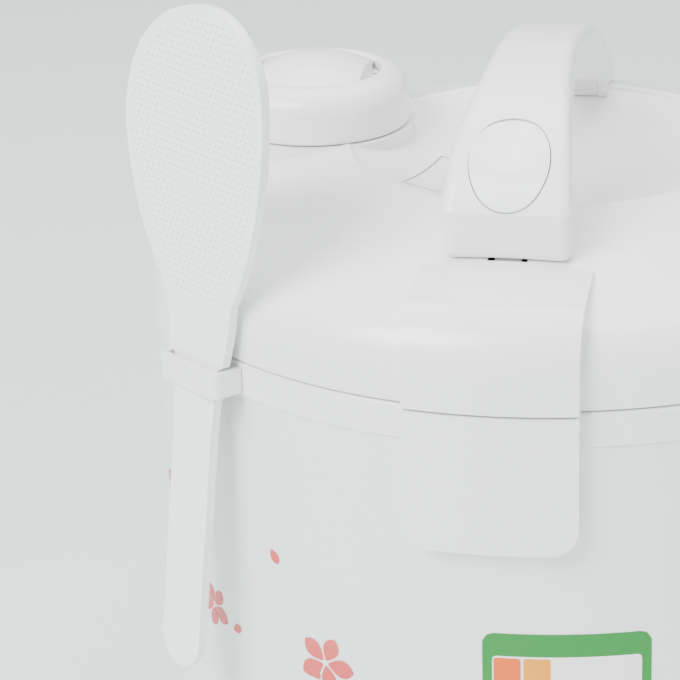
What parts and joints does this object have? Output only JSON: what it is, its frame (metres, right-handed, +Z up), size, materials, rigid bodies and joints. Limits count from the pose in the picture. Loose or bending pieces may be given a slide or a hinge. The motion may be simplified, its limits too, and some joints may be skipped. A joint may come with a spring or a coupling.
{
  "type": "rice cooker",
  "caption": "Round electric rice cooker with a hinged domed lid, arched carrying handle with release button, steam cap, inner pot and a paddle in a side loop.",
  "frame": {"origin": "on the axis of the round body, at the plane its feet stand on", "axes": "+Z up; -Y towards the front, where the lid panel, button and cook key are; +X to the right seen from the front"},
  "size_m": [0.26, 0.2903, 0.291],
  "materials": {
    "base_plastic": "satin off-white plastic",
    "board": "brown phenolic board",
    "brass_pin": "bare brass",
    "casing_paint": "white gloss paint with a floral print low on the front",
    "console_plastic": "glossy off-white plastic",
    "dew_plastic": "clear-white plastic",
    "ferrite": "dark grey sintered ferrite",
    "foot_rubber": "matt black rubber",
    "fuse_sleeve": "glass-fibre sleeve",
    "heater_band": "foil-wrapped mica band",
    "heater_steel": "heat-darkened tube",
    "inlet_plastic": "matt black plastic",
    "key_plastic": "glossy red plastic",
    "lamp_glass": "neon lamp glass",
    "lens_red": "clear red lens",
    "lid_aluminium": "brushed sheet",
    "lid_plastic": "glossy off-white moulded plastic",
    "magnet_steel": "nickel-plated",
    "plate_aluminium": "cast and turned",
    "pot_aluminium": "non-stick inside, brushed outside",
    "screw_steel": "zinc-plated",
    "seal_rubber": "translucent silicone rubber",
    "spring_steel": "bright spring wire",
    "steel_sheet": "plain galvanised sheet",
    "switch_plastic": "black phenolic",
    "white_plastic": "glossy cool white moulded plastic"
  },
  "bodies": {
    "body": {"base_cover": "base_plastic", "feet": "foot_rubber", "base_screws": "screw_steel", "outer_casing": "casing_paint", "upper_ring": "lid_plastic", "inner_shell": "steel_sheet", "side_heater": "heater_band", "heating_plate": "plate_aluminium", "plate_screws": "screw_steel", "heating_element": "heater_steel", "thermostat_sleeve": "steel_sheet", "thermostat_spring": "spring_steel", "switch_bracket": "steel_sheet", "switch_pin": "screw_steel", "microswitch": "switch_plastic", "thermal_fuse": "fuse_sleeve", "control_panel": "console_plastic", "lamp_lenses": "lens_red", "lamp_board": "board", "indicator_lamps": "lamp_glass", "power_inlet": "inlet_plastic", "inlet_pins": "brass_pin", "latch_strike": "steel_sheet", "hinge_pin": "screw_steel", "hinge_spring": "spring_steel", "spatula_holder": "lid_plastic"},
    "pot": {"inner_pot": "pot_aluminium"},
    "lid": {"lid_cover": "lid_plastic", "lid_frame": "base_plastic", "inner_lid_plate": "lid_aluminium", "inner_lid_knob": "seal_rubber", "lid_gasket": "seal_rubber", "vent_gasket": "seal_rubber", "handle_shell": "lid_plastic", "handle_under_cover": "base_plastic", "handle_screws": "screw_steel", "latch_pin": "screw_steel", "latch_bracket": "steel_sheet", "latch_springs": "spring_steel"},
    "button": {"release_button": "white_plastic"},
    "latch": {"latch_lever": "base_plastic"},
    "steam_cap": {"vent_cap": "lid_plastic", "vent_plug": "lid_plastic", "vent_cup": "base_plastic"},
    "dew_box": {"dew_collector": "dew_plastic"},
    "paddle": {"rice_paddle": "white_plastic"},
    "cook_switch": {"switch_lever": "steel_sheet", "cook_key": "key_plastic"},
    "magnet": {"thermostat_magnet": "magnet_steel"},
    "sensor": {"thermostat_cap": "plate_aluminium", "thermostat_ferrite": "ferrite"}
  },
  "joints": [
    {"name": "lid_hinge", "type": "hinge", "parent": "body", "child": "lid", "pos_m": [0, 0.1365, 0.186], "axis": [-1, 0, 0], "range_deg": [0, 90]},
    {"name": "button_press", "type": "slide", "parent": "lid", "child": "button", "axis": [0, 0.6884, -0.7254], "range_m": [0, 0.0045], "stiffness_N_per_m": 700, "springref_m": -0.003},
    {"name": "latch_turn", "type": "hinge", "parent": "lid", "child": "latch", "pos_m": [0, -0.1175, 0.1975], "axis": [-1, 0, 0], "range_deg": [0, 5]},
    {"name": "steam_cap_lift", "type": "slide", "parent": "lid", "child": "steam_cap", "axis": [0, 0, 1], "range_m": [0, 0.05]},
    {"name": "dew_box_pull", "type": "slide", "parent": "body", "child": "dew_box", "axis": [0, 1, 0], "range_m": [0, 0.03]},
    {"name": "paddle_draw", "type": "slide", "parent": "body", "child": "paddle", "axis": [0.0783, 0.0934, 0.9925], "range_m": [0, 0.11]},
    {"name": "pot_turn", "type": "hinge", "parent": "body", "child": "pot", "pos_m": [0, 0, 0.1], "axis": [0, 0, 1], "continuous": true},
    {"name": "key_press", "type": "hinge", "parent": "body", "child": "cook_switch", "pos_m": [0, -0.05, 0.026], "axis": [1, 0, 0], "range_deg": [0, 5.7], "stiffness_Nm_per_rad": 0.2, "springref_deg": -22.92},
    {"name": "magnet_lift", "type": "slide", "parent": "body", "child": "magnet", "axis": [0, 0, 1], "range_m": [0, 0.005]},
    {"name": "sensor_sink", "type": "slide", "parent": "body", "child": "sensor", "axis": [0, 0, 1], "range_m": [-0.003, 0], "stiffness_N_per_m": 300, "springref_m": 0.006, "deforming": ["thermostat_spring"]}
  ],
  "couplings": [
    {"joint": "latch_turn", "follows": "button_press", "rad_per_m": 19.277},
    {"joint": "magnet_lift", "follows": "key_press", "m_per_rad": 0.05}
  ]
}
